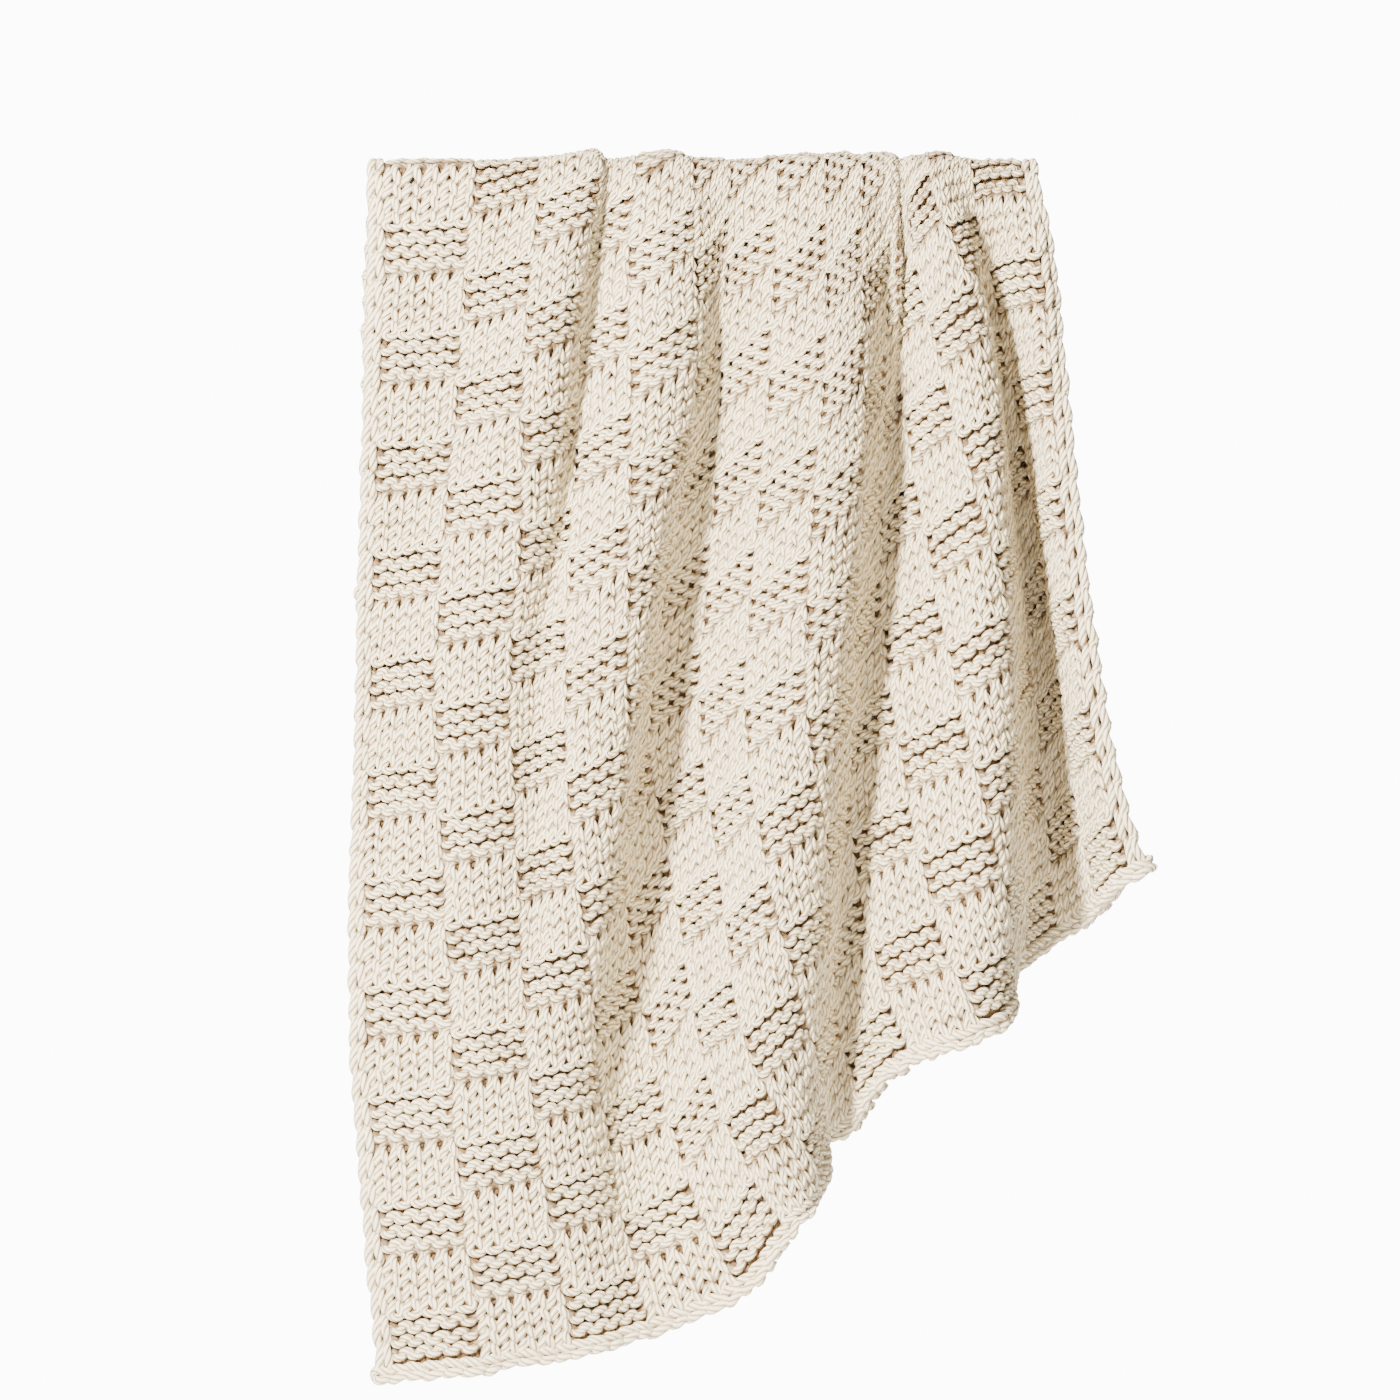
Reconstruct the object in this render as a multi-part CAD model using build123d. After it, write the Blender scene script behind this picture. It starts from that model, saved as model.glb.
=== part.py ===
from build123d import *
import os
from math import hypot

# Chunky knitted throw, 1270 x 1524 mm, hung slantwise over a round rod.
# Millimetres. X runs along the rod, the long front fall hangs on -Y, Z is up.
# The origin is on the rod's axis, at the middle of the cloth that lies on the rod.

ROD_RADIUS = 8.0
CLOTH_THICKNESS = 14.0
SADDLE_WIDTH = 599.0
SELVEDGE_WIDTH = 13.0
EDGE_DEPTH = 13.0
HINGE_DROP = 7.5                                # the falls bend this far below the rod's axis
HINGE_Y = ROD_RADIUS + CLOTH_THICKNESS / 2      # middle of the cloth's thickness, at the rod's side
SAMPLES = 26                                    # points along each folded section
DEPTH_REACH = 400.0                             # half depth of the cutting prisms

HALF = SADDLE_WIDTH / 2

# Height of the cloth's outer face above the rod's axis, along the rod: where folds cross
# the rod the cloth rises off it. (x, height)
SADDLE_CREST = [
    (-HALF, 21), (-210, 21), (-150, 24), (-95, 31), (-62, 22), (-5, 33), (45, 24),
    (100, 23), (150, 28), (185, 23), (215, 30), (255, 22), (HALF, 21),
]

# Each fall hangs in soft pleats. A section lists the pleats' ridges and hollows at one height,
# from the left selvedge to the right one: (x, distance of the cloth's middle from the rod's axis).
FRONT_SECTIONS = {
    -160: [(-296, 20), (-160, 35), (-108, 18), (-22, 45), (29, 17), (93, 45),
           (143, 16), (230, 50), (272, 18), (317, 34)],
    -480: [(-309, 25), (-215, 60), (-133, 44), (-67, 72), (-27, 15), (65, 90),
           (143, 22), (250, 92), (308, 16), (359, 66)],
    -780: [(-318, 28), (-225, 62), (-160, 70), (-95, 50), (-33, 15), (60, 98),
           (134, 18), (242, 104), (328, 0), (406, 64)],
    -1112: [(-289, 32), (-225, 56), (-165, 62), (-95, 48), (-20, 22), (92, 92),
            (150, 20), (242, 104), (336, 0), (432, 64)],
}
BACK_SECTIONS = {
    -160: [(-297, 17), (-240, 46), (-180, 24), (-112, 58), (-45, 24), (25, 60),
           (80, 26), (150, 62), (205, 26), (262, 34)],
    -400: [(-299, 20), (-232, 62), (-165, 24), (-95, 84), (-40, 28), (20, 90),
           (70, 30), (122, 88), (165, 30), (213, 42)],
    -890: [(-299, 26), (-245, 72), (-190, 30), (-135, 94), (-85, 32), (-35, 98),
           (10, 36), (55, 96), (90, 40), (118, 56)],
}

# Outlines of the two falls seen from the front: (x, z).
FRONT_LEFT_EDGE = [(-HALF, 0), (-309, -480), (-318, -780), (-289, -1112)]
FRONT_RIGHT_EDGE = [(HALF, 0), (359, -480), (401, -640)]
FRONT_HEM = [(-340, -1099), (-289, -1097), (-115, -1073), (9, -1031), (93, -960), (112, -893),
             (154, -866), (215, -811), (261, -783), (301, -728), (335, -701), (373, -673), (440, -605)]
BACK_LEFT_EDGE = [(-HALF, 0), (-299, -400), (-299, -890)]
BACK_RIGHT_EDGE = [(HALF, 0), (213, -400), (118, -890)]
BACK_HEM = [(-340, -400), (-299, -405), (-190, -455), (-60, -534), (0, -649), (45, -752),
            (75, -812), (125, -852), (200, -880)]


def saddle():
    """The cloth wrapped over the top half of the rod, thicker where folds cross it."""
    outline = [(-HALF, ROD_RADIUS), (HALF, ROD_RADIUS)]
    with BuildSketch(Plane.XZ) as profile:
        with BuildLine():
            Polyline(SADDLE_CREST[0], outline[0], outline[1], SADDLE_CREST[-1])
            Spline(*reversed(SADDLE_CREST))
        make_face()
    quarter_turn = Rot(-90, 0, 0)
    return quarter_turn * revolve(profile.sketch, Axis.X, 180)


def offset_points(middle, distance):
    """Points of a curve moved sideways by a distance, in the plane of the section."""
    moved = []
    for i in range(SAMPLES + 1):
        at = i / SAMPLES
        point = middle.position_at(at)
        along = middle.tangent_at(at)
        length = hypot(along.X, along.Y)
        aside = distance / length
        moved.append((point.X - along.Y * aside, point.Y + along.X * aside, point.Z))
    return moved


def section(middle):
    """A closed band, one cloth thickness wide, about the line of the pleats."""
    near = offset_points(middle, CLOTH_THICKNESS / 2)
    far = offset_points(middle, -CLOTH_THICKNESS / 2)
    with BuildLine() as outline:
        Spline(*near)
        Line(near[-1], far[-1])
        Spline(*reversed(far))
        Line(far[0], near[0])
    return make_face(outline.edges())


def fall(sections, side):
    """One hanging fall as a single pleated solid; side is -1 for the front and 1 for the back."""
    top = Line((-HALF, side * HINGE_Y, -HINGE_DROP), (HALF, side * HINGE_Y, -HINGE_DROP))
    faces = [section(top)]
    for height, pleats in sections.items():
        faces.append(section(Spline(*[(x, side * y, height) for x, y in pleats])))
    bend = Rot(0, 90, 0) * Cylinder(CLOTH_THICKNESS / 2, SADDLE_WIDTH)
    return loft(faces) + Pos(0, side * HINGE_Y, -HINGE_DROP) * bend


def prism(corners):
    """An upright outline in X and Z, pushed through the whole depth of the throw."""
    with BuildSketch(Plane.XZ) as outline:
        with BuildLine():
            Polyline(*corners, close=True)
        make_face()
    return extrude(outline.sketch, DEPTH_REACH, both=True)


def shifted(points, dx, dz):
    return [(x + dx, z + dz) for x, z in points]


def outer_strip(inner_line, outer_x, low):
    """Everything from a selvedge's inner line out to outer_x, as a prism."""
    top, bottom = inner_line[0][0], inner_line[-1][0]
    return prism([(outer_x, 100), (top, 100)] + inner_line + [(bottom, low), (outer_x, low)])


def cut_fall(whole, left_edge, right_edge, hem):
    """Splits a fall into its knitted panel, two selvedges and the finished edge along its end."""
    inner_hem = shifted(hem, 0, EDGE_DEPTH)
    upper = whole & prism(inner_hem + [(hem[-1][0], 100), (hem[0][0], 100)])
    edge_band = prism(hem + inner_hem[::-1])
    low = min(left_edge[-1][1], right_edge[-1][1]) - 300
    left_side = outer_strip(shifted(left_edge, SELVEDGE_WIDTH, 0), -500, low)
    right_side = outer_strip(shifted(right_edge, -SELVEDGE_WIDTH, 0), 500, low)
    return {
        "panel": upper - left_side - right_side,
        "left": upper & left_side,
        "right": upper & right_side,
        "edge": whole & edge_band,
    }


def end_slice(whole, low, high):
    return whole & Pos((low + high) / 2, 0, 0) * Box(high - low, DEPTH_REACH, DEPTH_REACH)


def main():
    wrapped = saddle()
    front = cut_fall(fall(FRONT_SECTIONS, -1), FRONT_LEFT_EDGE, FRONT_RIGHT_EDGE, FRONT_HEM)
    back = cut_fall(fall(BACK_SECTIONS, 1), BACK_LEFT_EDGE, BACK_RIGHT_EDGE, BACK_HEM)
    inner = HALF - SELVEDGE_WIDTH
    nodes = {
        "saddle_panel": end_slice(wrapped, -inner, inner),
        "left_selvedge_top": end_slice(wrapped, -HALF - 1, -inner),
        "right_selvedge_top": end_slice(wrapped, inner, HALF + 1),
        "front_panel": front["panel"],
        "left_selvedge_front": front["left"],
        "right_selvedge_front": front["right"],
        "bind_off_edge": front["edge"],
        "back_panel": back["panel"],
        "left_selvedge_back": back["left"],
        "right_selvedge_back": back["right"],
        "cast_on_edge": back["edge"],
    }
    os.makedirs("parts", exist_ok=True)
    for name, solid in nodes.items():
        solid.label = name
        export_step(solid, f"parts/{name}.step")
        print(name, len(solid.solids()), round(solid.volume / 1000), "cm3")


main()
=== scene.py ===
import bpy
import numpy as np
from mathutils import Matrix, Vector


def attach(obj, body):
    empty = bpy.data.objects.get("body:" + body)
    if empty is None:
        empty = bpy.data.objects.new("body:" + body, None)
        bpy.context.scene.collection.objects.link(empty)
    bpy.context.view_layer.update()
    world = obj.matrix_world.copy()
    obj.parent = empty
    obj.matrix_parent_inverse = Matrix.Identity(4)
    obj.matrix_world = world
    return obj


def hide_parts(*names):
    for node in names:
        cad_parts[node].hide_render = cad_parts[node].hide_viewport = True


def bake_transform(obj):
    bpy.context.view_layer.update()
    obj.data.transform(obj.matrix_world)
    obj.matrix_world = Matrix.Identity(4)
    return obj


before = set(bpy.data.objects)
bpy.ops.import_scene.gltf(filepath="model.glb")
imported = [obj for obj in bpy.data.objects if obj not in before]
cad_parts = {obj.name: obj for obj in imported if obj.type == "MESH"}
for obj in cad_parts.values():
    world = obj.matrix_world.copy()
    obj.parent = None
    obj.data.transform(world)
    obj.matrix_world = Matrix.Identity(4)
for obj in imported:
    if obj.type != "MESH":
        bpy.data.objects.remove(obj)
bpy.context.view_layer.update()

# A chunky basket-weave throw of 77 stitches by 121 rows, hung slantwise over a round rod.
# The cloth's middle surface comes first, and then each stitch is laid on it as a loop of yarn.
# Lengths are metres. u counts stitches from the left selvedge, v counts rows from the front hem.

STITCH, ROW = 0.0165, 0.0126          # metres per stitch and per row of the flat cloth
WALES, ROWS = 77, 121                 # stitches across and rows along
BLOCK, BLOCK_ROWS = 5, 4              # stitches across and rows along one basket-weave block
BLOCKS = 15                           # blocks across, with an edge stitch at each side of them
LIE = 0.0145                          # the cloth's middle above the rod's axis where it lies on the rod
ROD_ROW, SLANT = 87.5, 38             # the row at the rod on the left, and how many fewer on the right
SNUG = .92                            # width of a stitch in the draped cloth, of its flat width
DEPTH_LIMITS = -.118, .108            # how far forward and back the cloth's middle may go as it relaxes

# Fold lines of the front fall, from the left selvedge to the right one. Each is a list of
# (drop below the rod's axis, block column, x, distance in front of the rod's axis).
FRONT = [
    [(0, 0, -.294, .0145), (.20, 0, -.296, .020), (.48, 0, -.301, .028), (.76, 0, -.314, .034),
     (.92, 0, -.303, .032), (1.097, 0, -.287, .030)],
    [(0, 1.0, -.207, .0145), (.16, 1.0, -.2195, .021), (.48, .8, -.257, .046), (.80, .8, -.240, .057),
     (1.09, .5, -.247, .045)],
    [(0, 2.1, -.1435, .018), (.16, 1.95, -.1646, .038), (.48, 1.45, -.212, .066), (.80, 1.5, -.188, .074),
     (1.085, 1.0, -.1985, .055)],
    [(0, 2.85, -.098, .028), (.07, 2.85, -.113, .042), (.16, 2.65, -.127, .050), (.28, 2.3, -.140, .054),
     (.48, 2.0, -.177, .066), (.80, 1.75, -.173, .075), (1.08, 1.4, -.165, .056)],
    [(0, 3.35, -.0894, .0145), (.07, 3.4, -.100, -.010), (.16, 3.25, -.111, -.012),
     (.28, 2.85, -.124, .006), (.48, 2.45, -.152, .040), (.80, 2.0, -.158, .066), (1.075, 1.8, -.130, .055)],
    [(0, 3.7, -.076, .0165), (.07, 3.75, -.082, .018), (.16, 3.62, -.091, .020), (.28, 3.25, -.106, .034),
     (.48, 2.9, -.128, .058), (.80, 2.2, -.148, .072), (1.07, 1.98, -.118, .054)],
    [(0, 4.5, -.030, .0255), (.16, 4.4, -.034, .050), (.34, 4.15, -.060, .070), (.48, 3.85, -.080, .080),
     (.65, 3.15, -.108, .082), (.80, 2.5, -.132, .078), (1.068, 2.25, -.098, .054)],
    [(0, 4.9, -.012, .020), (.16, 4.75, -.016, .045), (.34, 4.38, -.045, .065), (.48, 4.1, -.066, .074),
     (.65, 3.42, -.089, .074), (.80, 2.8, -.110, .070), (1.055, 2.5, -.083, .048)],
    [(0, 5.5, .012, .016), (.16, 5.35, .004, .008), (.34, 5.12, -.030, .000), (.48, 4.95, -.053, .002),
     (.65, 4.12, -.071, .006), (.80, 3.38, -.088, .010), (1.05, 2.8, -.070, .034)],
    [(0, 6.1, .030, .0145), (.16, 6.0, .018, -.004), (.34, 5.72, -.002, -.016), (.48, 5.5, -.025, -.018),
     (.65, 4.62, -.042, -.012), (.80, 3.82, -.054, -.004), (1.04, 3.05, -.056, .024)],
    [(0, 7.6, .100, .022), (.16, 7.8, .109, .050), (.34, 8.0, .100, .080), (.48, 7.95, .090, .094),
     (.65, 7.3, .080, .102), (.80, 6.45, .067, .104), (.962, 5.15, .091, .092)],
    [(0, 8.4, .128, .022), (.16, 8.6, .135, .050), (.34, 8.45, .126, .078), (.48, 8.35, .114, .090),
     (.65, 7.7, .102, .092), (.80, 6.85, .092, .094), (.95, 5.6, .100, .084)],
    [(0, 9.9, .172, .022), (.16, 10.0, .168, .000), (.34, 9.55, .154, .000), (.48, 8.95, .134, .030),
     (.65, 8.2, .118, .042), (.80, 7.4, .110, .046), (.93, 6.2, .108, .042)],
    [(0, 11.4, .182, .0145), (.10, 11.3, .186, -.008), (.28, 10.6, .181, -.018), (.48, 9.5, .150, -.010),
     (.65, 8.8, .134, -.006), (.80, 8.0, .128, .002), (.897, 6.95, .116, .012)],
    [(0, 13.3, .219, .024), (.10, 12.9, .240, .044), (.21, 12.4, .255, .062), (.48, 11.35, .262, .098),
     (.65, 10.7, .258, .106), (.79, 9.8, .248, .106)],
    [(0, 13.6, .232, .020), (.10, 13.2, .250, .038), (.21, 12.75, .266, .054), (.48, 11.7, .277, .084),
     (.65, 11.05, .275, .090), (.77, 10.2, .267, .090)],
    [(0, 13.95, .246, .016), (.10, 13.75, .262, .008), (.34, 13.05, .288, -.004), (.48, 12.7, .298, -.008),
     (.65, 12.3, .299, -.012), (.70, 12.2, .299, -.012)],
    [(0, 14.2, .256, .0145), (.16, 14.05, .282, -.008), (.34, 13.6, .304, -.026), (.48, 13.3, .319, -.038),
     (.65, 12.95, .324, -.046), (.70, 12.85, .326, -.046)],
    [(0, 15, .295, .0145), (.16, 15, .3175, .040), (.34, 15, .337, .068), (.48, 15, .356, .080),
     (.60, 15, .382, .080), (.636, 15, .3955, .078)],
]
# Where the front hem hangs: (block column, drop below the rod's axis).
HEM = [(-.2, 1.099), (0, 1.097), (2, 1.072), (3, 1.058), (4, 1.022), (5, .962), (6, .934), (7, .893),
       (8, .857), (9, .811), (10, .783), (11, .756), (12, .721), (13, .696), (14, .668), (15, .636),
       (15.2, .630)]
# Fold lines of the back fall, the same way round, with distances behind the rod's axis.
BACK = [
    [(0, 0, -.294, .0145), (.16, 0, -.297, .017), (.40, 0, -.299, .020), (.85, 0, -.299, .026)],
    [(0, 1.0, -.207, .0145), (.16, 1.1, -.240, .050), (.40, 1.15, -.262, .085), (.85, 1.2, -.268, .092)],
    [(0, 2.1, -.1435, .018), (.16, 2.1, -.195, .024), (.40, 2.3, -.228, .018), (.85, 2.4, -.232, .022)],
    [(0, 3.0, -.085, .028), (.16, 3.2, -.145, .060), (.40, 3.55, -.186, .092), (.85, 3.6, -.195, .098)],
    [(0, 3.5, -.078, .0145), (.16, 4.1, -.098, .022), (.40, 4.75, -.145, .020), (.85, 4.8, -.158, .024)],
    [(0, 4.5, -.030, .0255), (.16, 5.3, -.055, .062), (.40, 6.0, -.100, .094), (.85, 6.0, -.120, .098)],
    [(0, 6.1, .030, .0145), (.16, 6.7, -.005, .020), (.40, 7.2, -.058, .022), (.85, 7.2, -.085, .026)],
    [(0, 7.6, .100, .022), (.16, 7.9, .050, .060), (.40, 8.4, -.012, .096), (.85, 8.4, -.048, .100)],
    [(0, 9.0, .142, .0145), (.16, 9.3, .098, .020), (.40, 9.6, .032, .024), (.85, 9.6, -.012, .028)],
    [(0, 9.9, .172, .022), (.16, 10.4, .138, .062), (.40, 10.8, .080, .096), (.85, 10.8, .026, .100)],
    [(0, 11.4, .182, .0145), (.16, 11.8, .172, .022), (.40, 12.0, .122, .026), (.85, 12.0, .060, .030)],
    [(0, 13.3, .219, .024), (.16, 13.1, .208, .062), (.40, 13.2, .165, .092), (.85, 13.2, .092, .096)],
    [(0, 14.2, .256, .0145), (.16, 14.2, .238, .028), (.40, 14.2, .195, .034), (.85, 14.2, .110, .036)],
    [(0, 15, .295, .0145), (.16, 15, .272, .038), (.40, 15, .213, .062), (.85, 15, .126, .062)],
]


def pchip(x, y, at):
    """Monotone cubic through the points (x, y), straight beyond the ends."""
    x, y, at = (np.asarray(v, float) for v in (x, y, at))
    step, slope = np.diff(x), np.diff(y) / np.diff(x)
    d = np.empty_like(y)
    d[0], d[-1] = slope[0], slope[-1]
    a, b = 2 * step[1:] + step[:-1], step[1:] + 2 * step[:-1]
    turning = slope[1:] * slope[:-1] <= 0
    low = np.where(turning, 1, slope[:-1])
    high = np.where(turning, 1, slope[1:])
    d[1:-1] = np.where(turning, 0, (a + b) / (a / low + b / high))
    i = np.clip(np.searchsorted(x, at) - 1, 0, len(x) - 2)
    t = np.clip((at - x[i]) / step[i], 0, 1)
    inside = ((1 + 2 * t) * (1 - t) ** 2 * y[i] + t * (1 - t) ** 2 * step[i] * d[i]
              + t * t * (3 - 2 * t) * y[i + 1] - t * t * (1 - t) * step[i] * d[i + 1])
    return inside + np.minimum(at - x[0], 0) * d[0] + np.maximum(at - x[-1], 0) * d[-1]


def hung(lines, column, drop, side):
    """Points of a fall: for each block column and drop, where the fold lines put it."""
    tables = []
    for line in lines:
        table = np.array(line, float)
        tables.append([pchip(table[:, 0], table[:, k], drop.ravel()) for k in (1, 2, 3)])
    c, x, y = np.transpose(np.array(tables), (1, 2, 0))
    out = np.empty((drop.size, 3))
    for i, at in enumerate(column.ravel()):
        inside = np.clip(at, c[i, 0], c[i, -1])
        past = (at - inside) * BLOCK * STITCH
        out[i, 0] = pchip(c[i], x[i], inside) + past * .9
        out[i, 1] = side * pchip(c[i], y[i], inside)
    out[:, 2] = -drop.ravel()
    return out.reshape(drop.shape + (3,))


def rod_row(column):
    """The row that meets the rod's front side at each block column: the throw hangs slantwise."""
    t = np.clip(column / BLOCKS, 0, 1)
    return ROD_ROW - SLANT * t * t * (3 - 2 * t)


def first_shape():
    """The cloth's middle surface before it is relaxed, on the lines between stitches and rows."""
    column = (np.arange(WALES + 1) - 1) / BLOCK
    c, v = np.meshgrid(column, np.arange(ROWS + 1.0), indexing="ij")
    rod = rod_row(c)
    hem = pchip(*np.transpose(HEM), c)
    front = hung(FRONT, c, np.maximum(hem * (1 - v / rod), 0), -1)
    top = np.array([line[0] for line in FRONT])
    lift = np.maximum(pchip(top[:, 1], top[:, 3], c) - LIE, 0)
    x_top = hung(FRONT, c[:, :1], c[:, :1] * 0, -1)[:, 0, 0]
    half_turn = np.pi * (LIE + .5 * lift)
    over = (v - rod) * ROW
    angle = np.clip(over / half_turn, 0, 1) * np.pi
    radius = LIE + lift
    x_over = np.broadcast_to(x_top[:, None], c.shape)
    saddle = np.stack([x_over, -radius * np.cos(angle), radius * np.sin(angle)], -1)
    back = hung(BACK, c, np.maximum(over - half_turn, 0), 1)
    shape = np.where((over < 0)[..., None], front, saddle)
    return np.where((over > half_turn)[..., None], back, shape)


def pull(points, a, b, length, share):
    """Moves the points a and b of each pair towards being one length apart."""
    gap = points[b] - points[a]
    now = np.linalg.norm(gap, axis=-1, keepdims=True)
    move = gap * (.5 * share * (1 - length / np.maximum(now, 1e-9)))
    points[a] += move
    points[b] -= move


def stiffened(p, axis, amount):
    """Takes out sharp changes of bending along one direction, and keeps the broad folds."""
    q = np.moveaxis(p, axis, 0)
    bend = q[2:] + q[:-2] - 2 * q[1:-1]
    q[2:-2] -= amount * (bend[2:] + bend[:-2] - 2 * bend[1:-1])


def relaxed(start, rounds=400):
    """Evens out the stitches: they are pulled towards their own width and length, and towards the
    first shape, which holds them hardest near the rod."""
    p = start.copy()
    full = slice(None)
    near_rod = .3 * np.exp(-np.abs(start[:, :, 2:] - .01) / .03)
    hold = np.maximum([.03, .025, .03], near_rod)
    for _ in range(rounds):
        for first in (0, 1):
            a, b = slice(first, WALES, 2), slice(first + 1, WALES + 1, 2)
            pull(p, (a, full), (b, full), STITCH * SNUG, share=.3)
            a, b = slice(first, ROWS, 2), slice(first + 1, ROWS + 1, 2)
            pull(p, (full, a), (full, b), ROW, share=.8)
        stiffened(p, axis=0, amount=.05)
        stiffened(p, axis=1, amount=.06)
        p[:, 1:-1] += .03 * (p[:, 2:] + p[:, :-2] - 2 * p[:, 1:-1])
        p += (start - p) * hold
        p[..., 1] = np.clip(p[..., 1], *DEPTH_LIMITS)
    return p


def padded(grid):
    """The grid with two straight extra lines on every side."""
    for axis in (0, 1):
        g = np.moveaxis(grid, axis, 0)
        low, high = g[:1] - g[1:2], g[-1:] - g[-2:-1]
        wider = np.concatenate([g[:1] + 2 * low, g[:1] + low, g, g[-1:] + high, g[-1:] + 2 * high])
        grid = np.moveaxis(wider, 0, axis)
    return grid


def spline_weights(t):
    """Shares of the four neighbouring values in a Catmull-Rom spline, between the middle two."""
    return np.stack([-.5 * t + t * t - .5 * t ** 3, 1 - 2.5 * t * t + 1.5 * t ** 3,
                     .5 * t + 2 * t * t - 1.5 * t ** 3, -.5 * t * t + .5 * t ** 3], -1)


def smooth_at(grid, u, v):
    """Values of a padded grid at fractional stitches and rows."""
    i = np.clip(np.floor(u).astype(int), -1, grid.shape[0] - 6)
    j = np.clip(np.floor(v).astype(int), -1, grid.shape[1] - 6)
    wu, wv = spline_weights(u - i), spline_weights(v - j)
    out = 0
    for a in range(4):
        for b in range(4):
            out = out + (wu[..., a] * wv[..., b])[..., None] * grid[i + a + 1, j + b + 1]
    return out


def unit(vectors):
    """The vectors scaled to length 1."""
    return vectors / np.maximum(np.linalg.norm(vectors, axis=-1, keepdims=True), 1e-12)


def surface_grid(middle):
    """Position and outward normal of the cloth at each crossing of the lines, and how much room is
    left there for a stitch (1 on the flat cloth)."""
    normal = np.cross(np.gradient(middle, axis=0), np.gradient(middle, axis=1))
    room = np.linalg.norm(normal, axis=-1, keepdims=True) / (STITCH * ROW)
    return padded(np.concatenate([middle, unit(normal), room], -1))


def purl(wale, row):
    """1 where the basket weave shows the back of a stitch, and 0 where it shows the front or has
    no blocks."""
    inside = (wale >= 1) & (wale < WALES - 1) & (row >= 0) & (row < ROWS - 1)
    return np.where(inside, ((wale - 1) // BLOCK + row // BLOCK_ROWS) % 2 == 0, 0)


def basket_relief():
    """How far the basket weave's blocks swell: purl rows stand out at the top and bottom of their
    blocks, and plain stitches at the sides of theirs."""
    fine = 8                  # samples along each stitch and each row
    purl_swell, plain_swell = .0032, .0026
    wale, row = np.meshgrid((np.arange(WALES * fine) + .5) / fine,
                            (np.arange(ROWS * fine) + .5) / fine, indexing="ij")
    a, b = ((wale - 1) / BLOCK) % 1, (row / BLOCK_ROWS) % 1
    sign = 2 * purl(np.floor(wale).astype(int), np.floor(row).astype(int)) - 1
    swell = sign * (purl_swell * np.abs(2 * b - 1) ** 1.5 - plain_swell * np.abs(2 * a - 1) ** 3)
    swell[(wale < 1) | (wale > WALES - 1)] = 0
    around = np.pad(swell, fine // 2, mode="edge")
    return around.reshape(WALES + 1, fine, ROWS + 1, fine).mean((1, 3))


middle = relaxed(first_shape())
across, along = np.gradient(middle, axis=0), np.gradient(middle, axis=1)
middle += unit(np.cross(across, along)) * basket_relief()[..., None]
CLOTH = surface_grid(middle)
rng = np.random.default_rng(11)
# Hand-made unevenness: how far a stitch strays across (stitches), along (rows) and out (metres).
UNEVEN = padded(rng.normal(0, 1, (WALES + 1, ROWS + 1, 3)) * [.045, .050, .0005])
# The row that lies on top of the rod, for each stitch: 1.8 rows past the one at its front side.
ROD_TOP = rod_row((np.arange(WALES) - .5) / BLOCK) + 1.8

YARN = .0043                  # radius of the yarn
EDGE_YARN = YARN * 1.06       # and of the yarn along the edges
FLATTENED = .92               # the yarn's thickness, of its width
DEPTH = .0034                 # how far a loop's legs and head stand off the middle surface
LOOP = .73                    # half height of a loop, in rows; the front fall is worked downwards
LEAN = .255                   # how far a loop swings to each side on its way round, in stitches
TUCK = .32                    # how much further a loop's feet reach under a block of the other kind, in rows
SIDES, STEPS = 8, 18          # sides of the yarn, and points along one stitch
MARGIN = .04                  # gap round each stitch in its cell of the OFBake map
CREVICE = .006                # distance off the middle surface that stand_off gives as 1; yarn close to the middle gets painted crevice shade


def row_path(row, first, last):
    """The yarn of one row between two stitches, as places (u, v, distance off the middle surface).
    Where the next row is of the other kind, the loops' feet reach further, in under it."""
    count = last - first
    k = np.arange(count * STEPS + 1)
    wale = np.minimum(first + k // STEPS, last - 1)
    t = 2 * np.pi * (k / STEPS - (wale - first))
    side = lambda w, r: DEPTH * (1 - 2 * purl(w, r))
    legs = side(wale, row)
    head = -side(wale, row - 1)
    neighbour = np.where(t < np.pi, wale - 1, wale + 1)
    tucked = lambda w: np.where(purl(w, row) != purl(w, row + 1), .5, 0)
    under = tucked(wale) + tucked(neighbour)
    sinker = -.5 * (side(wale, row) + side(neighbour, row)) * (1 - .9 * under)
    ends = np.where(np.cos(t) > 0, sinker, head)
    u = wale + t / (2 * np.pi) + LEAN * np.sin(2 * t)
    v = row + .5 + (LOOP + TUCK * under * (np.cos(t) > 0)) * np.cos(t)
    return np.stack([u, v, ends * np.cos(t) ** 2 + legs * np.sin(t) ** 2], -1)


def edge_loops(start, pitch, across, along, count, sideways):
    """A chain of loops along an edge. start is the chain's corner, and sideways is true for a hem, whose
    chain runs along u. across is a loop's width, and along is half its length."""
    opening = .12             # radians that a loop's yarn leaves out of its turn, at the start and at the end
    t = np.linspace(opening, 2 * np.pi - opening, STEPS + 1)
    places = []
    for n in range(count):
        wide = across * (t / (2 * np.pi) + .20 * np.sin(2 * t))
        long = pitch * (n + .5) + along * np.cos(t)
        off = -DEPTH * 1.15 * np.cos(2 * t)
        u, v = (long, wide) if sideways else (wide, long)
        places.append(np.stack([start[0] + u, start[1] + v, off], -1))
    return places


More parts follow.
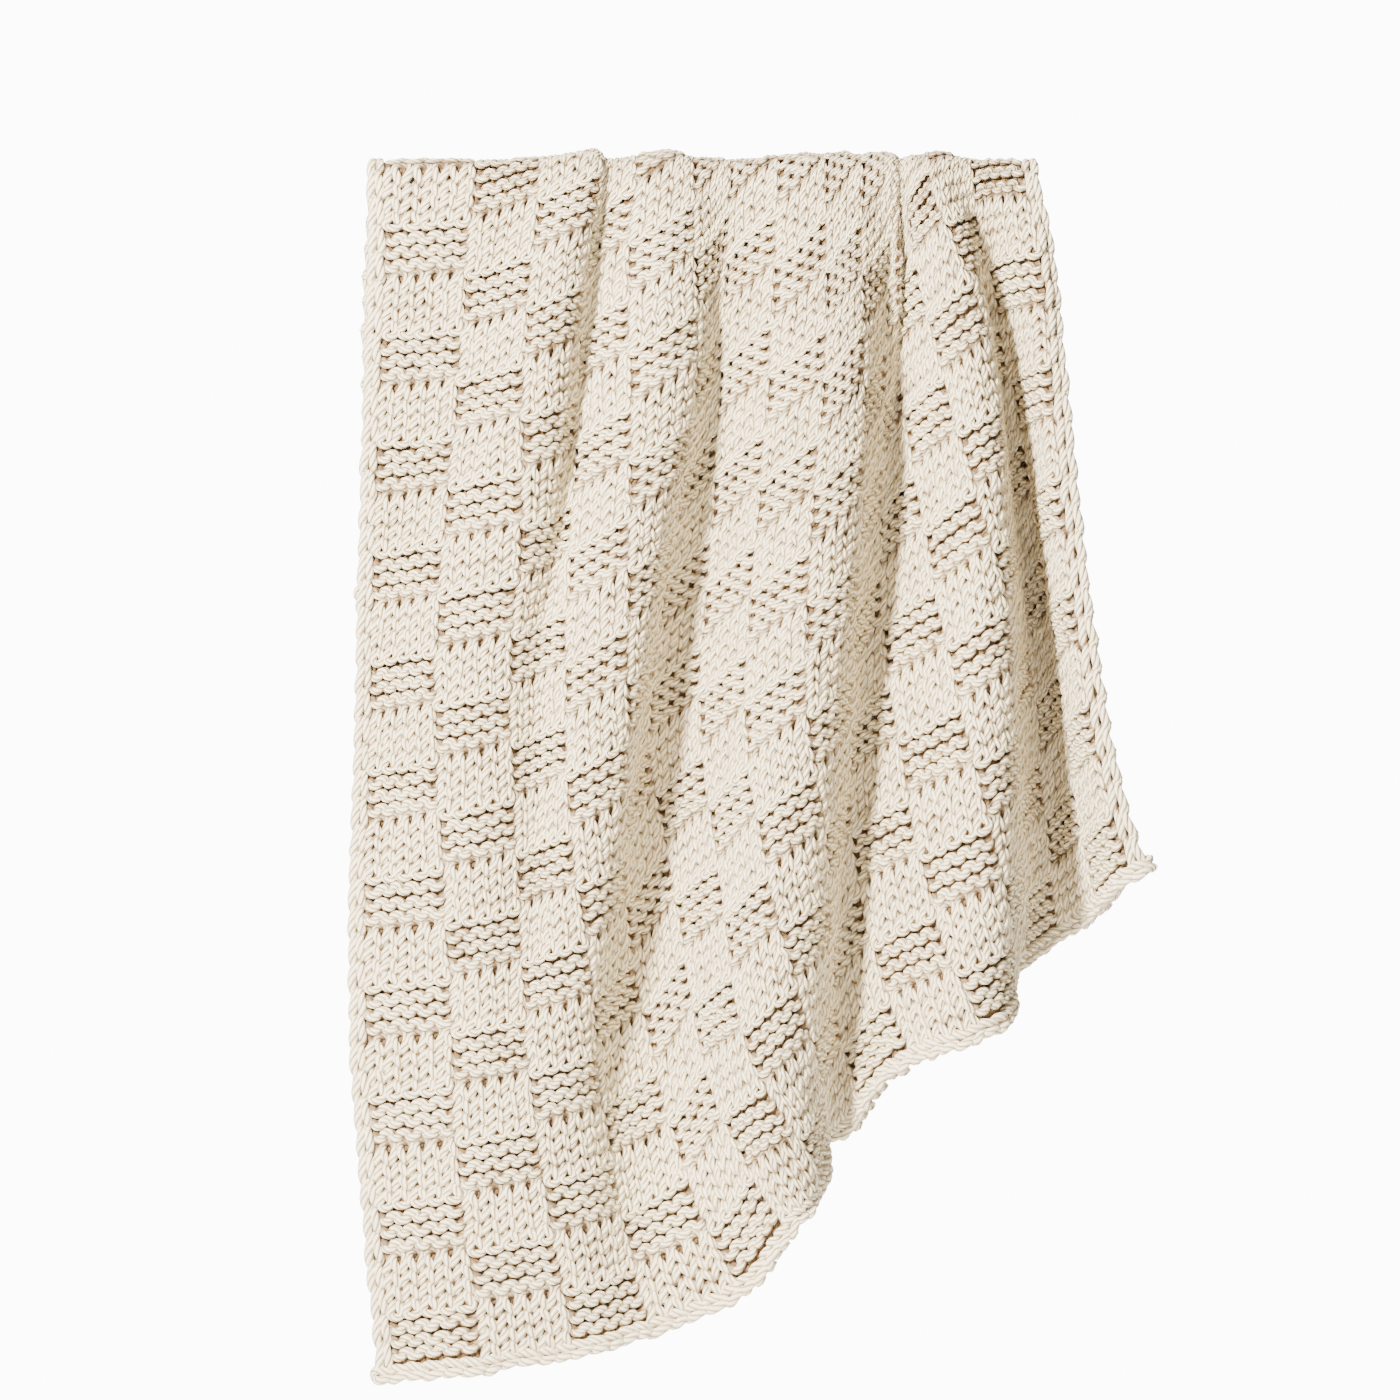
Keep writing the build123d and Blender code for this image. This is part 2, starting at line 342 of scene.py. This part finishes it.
def tube(path, radius):
    """Rings of points round a path of cloth places, the length along it in units of its girth, and how
    far each point stands off the cloth's middle surface, or out past the cloth's edge; this distance
    sets the painted crevice shade."""
    uneven = smooth_at(UNEVEN, path[:, 0], path[:, 1])
    u, v = path[:, 0] + uneven[:, 0], path[:, 1] + uneven[:, 1]
    at = smooth_at(CLOTH, u, v)
    normal = unit(at[:, 3:6])
    centre = at[:, :3] + normal * (path[:, 2] + uneven[:, 2])[:, None]
    forward = unit(np.gradient(centre, axis=0))
    side = unit(np.cross(forward, normal))
    out = np.cross(side, forward)
    # The yarn is slimmer in purl stitches, and where there is less room for it.
    slimmer = 1 - .07 * purl(np.floor(path[:, 0]).astype(int), np.floor(path[:, 1]).astype(int))
    thick = radius * slimmer * np.clip(at[:, 6], .45, 1) ** .5
    turn = 2 * np.pi * np.arange(SIDES) / SIDES
    ring = (np.cos(turn)[None, :, None] * side[:, None]
            + FLATTENED * np.sin(turn)[None, :, None] * out[:, None])
    # Yarn near the middle surface gets painted crevice shade, by how far it stands off it.
    off = np.abs(path[:, 2, None] + uneven[:, 2, None] + (ring * normal[:, None]).sum(-1) * thick[:, None])
    # The open side of the edge yarn counts as outside too, so that it gets no painted crevice shade.
    past_side = np.abs(path[:, 0] - WALES / 2) - WALES / 2 + .75
    past_hem = np.abs(path[:, 1] - ROWS / 2) - ROWS / 2 + .35
    open_side = CREVICE * np.clip(2 * np.maximum(past_side, past_hem), 0, 1)[:, None]
    length = np.concatenate([[0], np.cumsum(np.linalg.norm(np.diff(centre, axis=0), axis=1))])
    return centre[:, None] + ring * thick[:, None, None], length / (2 * np.pi * radius), off + open_side


def yarn_mesh(name, paths, radius, material):
    """One mesh object of yarn that follows all these paths. Each stitch has its own cell of the OFBake
    map, and the Yarn map runs round and along the yarn."""
    points, quads, yarn_uv, cells, depths = [], [], [], [], []
    start = stitches = 0
    for path in paths:
        rings, length, off = tube(path, radius)
        m = len(rings)
        i, j = np.meshgrid(np.arange(m - 1), np.arange(SIDES), indexing="ij")
        i, j = i.ravel(), j.ravel()
        following = (j + 1) % SIDES
        quads.append(start + np.stack([i * SIDES + j, (i + 1) * SIDES + j,
                                       (i + 1) * SIDES + following, i * SIDES + following], -1))
        round_uv = np.stack([j, j, j + 1, j + 1], -1) / SIDES
        along_uv = np.stack([length[i], length[i + 1], length[i + 1], length[i]], -1)
        yarn_uv.append(np.stack([round_uv, along_uv + rng.random() * 7], -1))
        within = np.stack([i % STEPS, i % STEPS + 1, i % STEPS + 1, i % STEPS], -1) / STEPS
        cells.append((stitches + i // STEPS, round_uv, within))
        points.append(rings.reshape(-1, 3))
        depths.append(off.ravel())
        start += m * SIDES
        stitches += (m - 1) // STEPS
    points, quads, yarn_uv = np.concatenate(points), np.concatenate(quads), np.concatenate(yarn_uv)
    stitch, round_uv, within = (np.concatenate(part) for part in zip(*cells))
    columns = int(np.ceil(np.sqrt(stitches * 2.2)))
    rows = int(np.ceil(stitches / columns))
    x = (stitch[:, None] % columns + MARGIN + (1 - 2 * MARGIN) * round_uv) / columns
    y = (stitch[:, None] // columns + MARGIN + (1 - 2 * MARGIN) * within) / rows
    made = mesh_object(name, points, quads, {"OFBake": np.stack([x, y], -1), "Yarn": yarn_uv}, material)
    # stand_off sets how much painted crevice shade each point gets.
    standing = made.data.attributes.new("stand_off", "FLOAT", "POINT")
    standing.data.foreach_set("value", (np.concatenate(depths) / CREVICE).astype(np.float32))
    return made


def mesh_object(name, points, quads, layers, material):
    """A smooth mesh object of four-sided faces, with these UV maps, added to the scene."""
    mesh = bpy.data.meshes.new(name)
    mesh.vertices.add(len(points))
    mesh.vertices.foreach_set("co", points.astype(np.float32).ravel())
    mesh.loops.add(quads.size)
    mesh.loops.foreach_set("vertex_index", quads.astype(np.int32).ravel())
    mesh.polygons.add(len(quads))
    mesh.polygons.foreach_set("loop_start", np.arange(0, quads.size, 4, dtype=np.int32))
    mesh.update(calc_edges=True)
    for layer, values in layers.items():
        mesh.uv_layers.new(name=layer).data.foreach_set("uv", values.astype(np.float32).ravel())
    mesh.shade_smooth()
    mesh.materials.append(material)
    made = bpy.data.objects.new(name, mesh)
    bpy.context.collection.objects.link(made)
    return made


def node(tree, kind, inputs=(), **settings):
    """Adds a shader node. An input is another node's output, or else a value."""
    made = tree.nodes.new(kind)
    for name, value in settings.items():
        setattr(made, name, value)
    for socket, value in dict(inputs).items():
        if isinstance(value, bpy.types.NodeSocket):
            tree.links.new(value, made.inputs[socket])
        else:
            made.inputs[socket].default_value = value
    return made


def maths(tree, operation, *values):
    return node(tree, "ShaderNodeMath", dict(enumerate(values)), operation=operation).outputs[0]


def yarn_material(name, light, shade, crevice_shade):
    """Soft cream yarn of four plies wound round each other, with fine fibres along each ply, painted
    shade in the grooves between the plies, and a darker painted shade on the yarn down in the crevices."""
    plies, twist = 4.0, 3.4       # plies in the yarn, and how many of them pass in one girth's length
    material = bpy.data.materials.new(name)
    material.use_nodes = True
    tree = material.node_tree
    shader = tree.nodes["Principled BSDF"]
    place = node(tree, "ShaderNodeUVMap", uv_map="Yarn").outputs[0]
    parts = node(tree, "ShaderNodeSeparateXYZ", {0: place})
    round_it, along = parts.outputs[0], parts.outputs[1]
    wound = maths(tree, "MULTIPLY", along, twist)
    ply = maths(tree, "FRACT", maths(tree, "MULTIPLY_ADD", round_it, plies, wound))
    from_middle = maths(tree, "ABSOLUTE", maths(tree, "MULTIPLY_ADD", ply, 2.0, -1.0))
    crest = maths(tree, "SUBTRACT", 1.0, maths(tree, "POWER", from_middle, 2.5))
    fibre_place = node(tree, "ShaderNodeCombineXYZ", {
        0: maths(tree, "MULTIPLY", maths(tree, "ADD", round_it, along), 34.0),
        1: maths(tree, "MULTIPLY", maths(tree, "SUBTRACT", along, round_it), 3.0)}).outputs[0]
    fibre = node(tree, "ShaderNodeTexNoise",
                 {"Vector": fibre_place, "Scale": 1.0, "Detail": 3.0, "Roughness": .6})
    spot = node(tree, "ShaderNodeNewGeometry").outputs["Position"]
    patch = node(tree, "ShaderNodeTexNoise", {"Vector": spot, "Scale": 9.0, "Detail": 2.0, "Roughness": .5})
    # The crest of each ply keeps the yarn's own colour and the grooves between plies get painted shade; the
    # fibre and patch noise vary the tone at random.
    tone = maths(tree, "MULTIPLY_ADD", fibre.outputs[0], .35, maths(tree, "MULTIPLY", crest, .85))
    tone = maths(tree, "MULTIPLY_ADD", patch.outputs[0], .3, maths(tree, "SUBTRACT", tone, .12))
    surface = node(tree, "ShaderNodeMix", {0: tone, 6: (*shade, 1), 7: (*light, 1)},
                   data_type="RGBA", clamp_factor=True)
    # Yarn close to the middle surface, down in the crevices, gets the darker painted shade.
    standing = node(tree, "ShaderNodeAttribute", attribute_name="stand_off").outputs["Fac"]
    outer = node(tree, "ShaderNodeMapRange",
                 {"Value": standing, "From Min": .38, "From Max": .92}).outputs[0]
    colour = node(tree, "ShaderNodeMix", {0: outer, 6: (*crevice_shade, 1), 7: surface.outputs[2]},
                  data_type="RGBA")
    height = maths(tree, "MULTIPLY_ADD", fibre.outputs[0], .35, crest)
    bump = node(tree, "ShaderNodeBump", {"Strength": .9, "Distance": .0030, "Height": height})
    tree.links.new(colour.outputs[2], shader.inputs["Base Color"])
    tree.links.new(bump.outputs[0], shader.inputs["Normal"])
    shader.inputs["Roughness"].default_value = .92
    shader.inputs["Specular IOR Level"].default_value = .25
    shader.inputs["Sheen Weight"].default_value = .18
    shader.inputs["Sheen Roughness"].default_value = .5
    return material


def plain_material(name, colour):
    """A dull material of one colour, for the web inside the cloth, whose dark colour is painted shade, and
    for the floor.
    """
    material = bpy.data.materials.new(name)
    material.use_nodes = True
    shader = material.node_tree.nodes["Principled BSDF"]
    shader.inputs["Base Color"].default_value = (*colour, 1)
    shader.inputs["Roughness"].default_value = .95
    shader.inputs["Specular IOR Level"].default_value = .2
    return material


def piece_top(piece):
    """The height of the piece's highest point."""
    places = np.empty(len(piece.data.vertices) * 3, np.float32)
    piece.data.vertices.foreach_get("co", places)
    return places[2::3].max()


HINGE_OUT = .015              # how far each fall's hinge line is in front of or behind the rod's axis
BELOW_BEND = -.03             # a piece that stays below this height is all on its fall


def hang(piece, side):
    """The piece moves with its fall if it stays below the bend; one that reaches up to the rod keeps its
    place, with its transform baked in.
    """
    fall, y = ("front_fall", -HINGE_OUT) if side == "front" else ("back_fall", HINGE_OUT)
    if piece_top(piece) < BELOW_BEND:
        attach(piece, fall)
    else:
        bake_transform(piece)


# Each yarn's colours: its own cream, painted shade for the ply grooves, and darker painted shade for the
# crevices.
knit = yarn_material("knit_yarn", (.94, .815, .565), (.50, .350, .160), (.19, .105, .038))
edging = yarn_material("edge_yarn", (.95, .83, .595), (.53, .375, .180), (.21, .12, .045))
# The web's dark colour is painted shade, seen through the gaps between the yarns.
web = plain_material("painted_shade_web", (.34, .25, .14))

BAND = 6                      # rows of knitting in one piece
pieces = {"front": [], "back": []}
for low in range(0, ROWS, BAND):
    for side in pieces:
        paths = []
        for row in range(low, min(low + BAND, ROWS)):
            cut = int((ROD_TOP > row + .5).sum())
            first, last = (1, min(cut, WALES - 1)) if side == "front" else (max(cut, 1), WALES - 1)
            if last > first:
                paths.append(row_path(row, first, last))
        if paths:
            piece = yarn_mesh(f"{side}_rows_{low:03d}", paths, YARN, knit)
            hang(piece, side)
            pieces[side].append(piece)

for name, start in (("left", .08), ("right", WALES - .98)):
    links = edge_loops((start, 0), pitch=2, across=.9, along=1.35, count=ROWS // 2, sideways=False)
    top = ROD_TOP[0 if name == "left" else -1]
    for side in pieces:
        chosen = [p for p in links if (p[:, 1].mean() < top) == (side == "front")]
        piece = yarn_mesh(f"{name}_selvedge_{side}_yarn", chosen, EDGE_YARN, edging)
        hang(piece, side)
        top_too = [f"{name}_selvedge_top"] if side == "front" else []
        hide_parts(f"{name}_selvedge_{side}", *top_too)
        pieces[side].append(piece)

for name, side, start in (("bind_off_edge", "front", -1.0), ("cast_on_edge", "back", ROWS - .2)):
    links = edge_loops((0, start), pitch=1, across=1.25, along=.72, count=WALES, sideways=True)
    piece = yarn_mesh(f"{name}_yarn", links, EDGE_YARN, edging)
    hang(piece, side)
    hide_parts(name)
    pieces[side].append(piece)

# The web inside the cloth stands for the crossings of the yarn, and its dark colour is painted shade in the
# gaps between the yarns. It stops a little short of the cloth's edges.
SIDE_INSET, HEM_INSET = .35, .2       # in stitches and in rows
WEB_SINK = .0026                      # how far the web lies inside the middle surface
LINES = ROWS + 1                      # points along each line of stitches
u, v = np.meshgrid(np.clip(np.arange(WALES + 1.0), SIDE_INSET, WALES - SIDE_INSET),
                   np.clip(np.arange(ROWS + 1.0), HEM_INSET, ROWS - HEM_INSET), indexing="ij")
at = smooth_at(CLOTH, u, v)
sheet_points = at[..., :3] - WEB_SINK * unit(at[..., 3:6])
i, j = np.meshgrid(np.arange(WALES), np.arange(ROWS), indexing="ij")
i, j = i.ravel(), j.ravel()
corner = i * LINES + j
corners = np.stack([corner, corner + LINES, corner + LINES + 1, corner + 1], -1)
in_front = ROD_TOP[i] > j + .5
for side, chosen in (("front", in_front), ("back", ~in_front)):
    used, quads = np.unique(corners[chosen], return_inverse=True)
    quads = quads.reshape(-1, 4)
    flat = np.stack([used // LINES / WALES, used % LINES / ROWS], -1)
    sheet = mesh_object(f"{side}_web", sheet_points.reshape(-1, 3)[used], quads,
                        {"OFBake": .02 + .96 * flat[quads]}, web)
    hang(sheet, side)
    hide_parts(*(["front_panel", "saddle_panel"] if side == "front" else ["back_panel"]))

FLOOR_RADIUS, FLOOR_HEIGHT, FLOOR_SIDES = 2.6, -1.32, 64
turn = np.linspace(0, 2 * np.pi, FLOOR_SIDES + 1)[:-1]
rim = np.stack([FLOOR_RADIUS * np.cos(turn), FLOOR_RADIUS * np.sin(turn), turn * 0 + FLOOR_HEIGHT], -1)
hub = rim * [0, 0, 1]
here = np.arange(FLOOR_SIDES)
after = (here + 1) % FLOOR_SIDES
floor = mesh_object("floor", np.concatenate([rim, hub]),
                    np.stack([here, after, FLOOR_SIDES + after, FLOOR_SIDES + here], -1),
                    {}, plain_material("floor", (.93, .93, .93)))

world = bpy.data.worlds.new("studio")
bpy.context.scene.world = world
world.use_nodes = True
air = world.node_tree         # the camera sees plain white, and the cloth gets only a faint warm light
seen = node(air, "ShaderNodeBackground", {"Color": (1, 1, 1, 1), "Strength": 12.0})
soft = node(air, "ShaderNodeBackground", {"Color": (1, .92, .80, 1), "Strength": .17})
both = node(air, "ShaderNodeMixShader", {0: node(air, "ShaderNodeLightPath").outputs["Is Camera Ray"],
                                         1: soft.outputs[0], 2: seen.outputs[0]})
air.links.new(both.outputs[0], air.nodes["World Output"].inputs["Surface"])


def area_light(name, place, target, size, power, colour):
    """A square light of this size, turned to face the target."""
    light = bpy.data.lights.new(name, "AREA")
    light.shape, light.size, light.energy, light.color = "SQUARE", size, power, colour
    made = bpy.data.objects.new(name, light)
    made.location = place
    made.rotation_euler = (Vector(target) - Vector(place)).to_track_quat("-Z", "Y").to_euler()
    bpy.context.collection.objects.link(made)


area_light("key", (-1.9, -3.2, 1.4), (0, 0, -.5), size=.5, power=1050, colour=(1, .955, .87))
area_light("fill", (1.0, -4.5, .2), (0, 0, -.5), size=2.0, power=50, colour=(1, .92, .80))
area_light("back", (1.6, 3.4, 1.6), (0, 0, -.4), size=1.6, power=420, colour=(1, .97, .91))

camera = bpy.data.objects.new("camera", bpy.data.cameras.new("camera"))
bpy.context.collection.objects.link(camera)
camera.data.sensor_width = 36
camera.data.lens = 252.3
camera.data.clip_end = 100
camera.location = (-.0014, -9.06, -.4805)
camera.rotation_euler = (np.pi / 2, 0, 0)
bpy.context.scene.camera = camera
